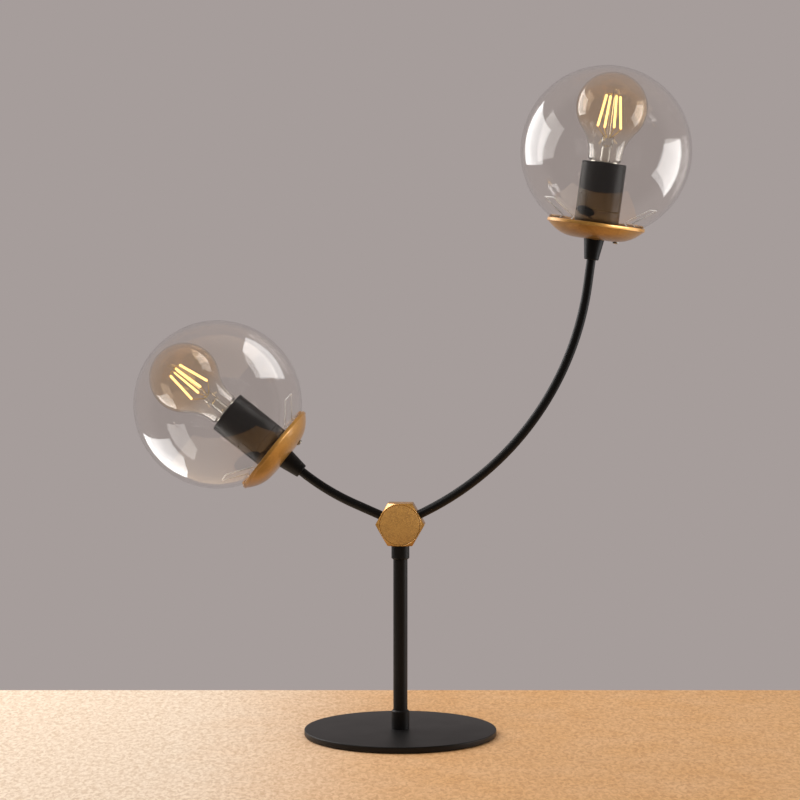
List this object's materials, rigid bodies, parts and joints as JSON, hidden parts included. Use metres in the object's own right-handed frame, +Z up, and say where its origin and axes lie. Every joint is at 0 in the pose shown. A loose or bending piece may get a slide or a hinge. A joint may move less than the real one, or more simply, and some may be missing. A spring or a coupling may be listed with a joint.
{
  "type": "table lamp",
  "caption": "Table lamp with a round base, a hexagonal hub and curved arms that carry bulbs in clear glass globes.",
  "frame": {"origin": "centre of the underside, on the axis of the stem", "axes": "+Z up the stem; +X towards the long arm, -X towards the short arm; -Y is the front"},
  "size_m": [0.4935, 0.1714, 0.5941],
  "materials": {
    "black_steel": "matt black powder coat",
    "gold_paint": "satin antique gold lacquer",
    "black_plastic": "fine matt moulded",
    "white_plastic": "moulded",
    "zinc_steel": "zinc plated",
    "spring_wire": "bright spring wire",
    "brass_sheet": "pressed brass",
    "cap_metal": "nickel plated",
    "cap_glass": "black glass",
    "solder": "solder",
    "globe_glass": "clear blown",
    "amber_glass": "clear at the neck, amber above",
    "stem_glass": "clear",
    "lit_stick": "lit phosphor",
    "support_wire": "drawn wire",
    "lead_sheath": "round sheath",
    "foot_foam": "foam sheet"
  },
  "bodies": {
    "stand": {"base_plate": "black_steel", "base_pad": "foot_foam", "base_nipple": "zinc_steel", "base_nut": "zinc_steel", "lower_collar": "black_steel", "cord_bushing": "black_plastic", "stem_tube": "black_steel", "stem_lead": "lead_sheath", "upper_collar": "black_steel", "stem_nut": "zinc_steel", "hub_body": "gold_paint", "hub_cover": "gold_paint", "wire_block": "white_plastic"},
    "long_arm": {"long_arm_tube": "black_steel", "long_arm_lead": "lead_sheath", "long_arm_lock": "zinc_steel", "long_cone": "black_steel", "long_dish_nipple": "zinc_steel", "long_dish": "gold_paint", "long_clip_plate": "gold_paint", "long_spring_clips": "spring_wire", "long_earth_screw": "zinc_steel", "long_holder_base": "black_plastic", "long_holder_shell": "black_plastic", "long_holder_core": "black_plastic", "long_screw_shell": "brass_sheet", "long_centre_contact": "brass_sheet", "long_terminal_screws": "brass_sheet"},
    "long_bulb": {"long_bulb_glass": "amber_glass", "long_bulb_cap": "cap_metal", "long_bulb_insulator": "cap_glass", "long_bulb_tip": "solder", "long_bulb_stem": "stem_glass", "long_bulb_sticks": "lit_stick", "long_bulb_wires": "support_wire"},
    "long_globe": {"long_globe_glass": "globe_glass"},
    "short_arm": {"short_arm_tube": "black_steel", "short_arm_lead": "lead_sheath", "short_arm_lock": "zinc_steel", "short_cone": "black_steel", "short_dish_nipple": "zinc_steel", "short_dish": "gold_paint", "short_clip_plate": "gold_paint", "short_spring_clips": "spring_wire", "short_earth_screw": "zinc_steel", "short_holder_base": "black_plastic", "short_holder_shell": "black_plastic", "short_holder_core": "black_plastic", "short_screw_shell": "brass_sheet", "short_centre_contact": "brass_sheet", "short_terminal_screws": "brass_sheet"},
    "short_bulb": {"short_bulb_glass": "amber_glass", "short_bulb_cap": "cap_metal", "short_bulb_insulator": "cap_glass", "short_bulb_tip": "solder", "short_bulb_stem": "stem_glass", "short_bulb_sticks": "lit_stick", "short_bulb_wires": "support_wire"},
    "short_globe": {"short_globe_glass": "globe_glass"}
  },
  "joints": [
    {"name": "long_arm_swivel", "type": "hinge", "parent": "stand", "child": "long_arm", "pos_m": [0, 0, 0.1895], "axis": [0.8894, 0, 0.4571], "range_deg": [-45, 45]},
    {"name": "long_bulb_turn", "type": "hinge", "parent": "long_arm", "child": "long_bulb", "pos_m": [0.17229, 0, 0.45675], "axis": [0.1305, 0, 0.9914], "range_deg": [0, 315]},
    {"name": "long_globe_lift", "type": "slide", "parent": "long_arm", "child": "long_globe", "axis": [0.1305, 0, 0.9914], "range_m": [0, 0.145], "deforming": ["long_spring_clips"]},
    {"name": "short_arm_swivel", "type": "hinge", "parent": "stand", "child": "short_arm", "pos_m": [0, 0, 0.1895], "axis": [-0.9164, 0, 0.4003], "range_deg": [-45, 45]},
    {"name": "short_bulb_turn", "type": "hinge", "parent": "short_arm", "child": "short_bulb", "pos_m": [-0.11376, 0, 0.25619], "axis": [-0.7837, 0, 0.6211], "range_deg": [0, 315]},
    {"name": "short_globe_lift", "type": "slide", "parent": "short_arm", "child": "short_globe", "axis": [-0.7837, 0, 0.6211], "range_m": [0, 0.145], "deforming": ["short_spring_clips"]}
  ]
}
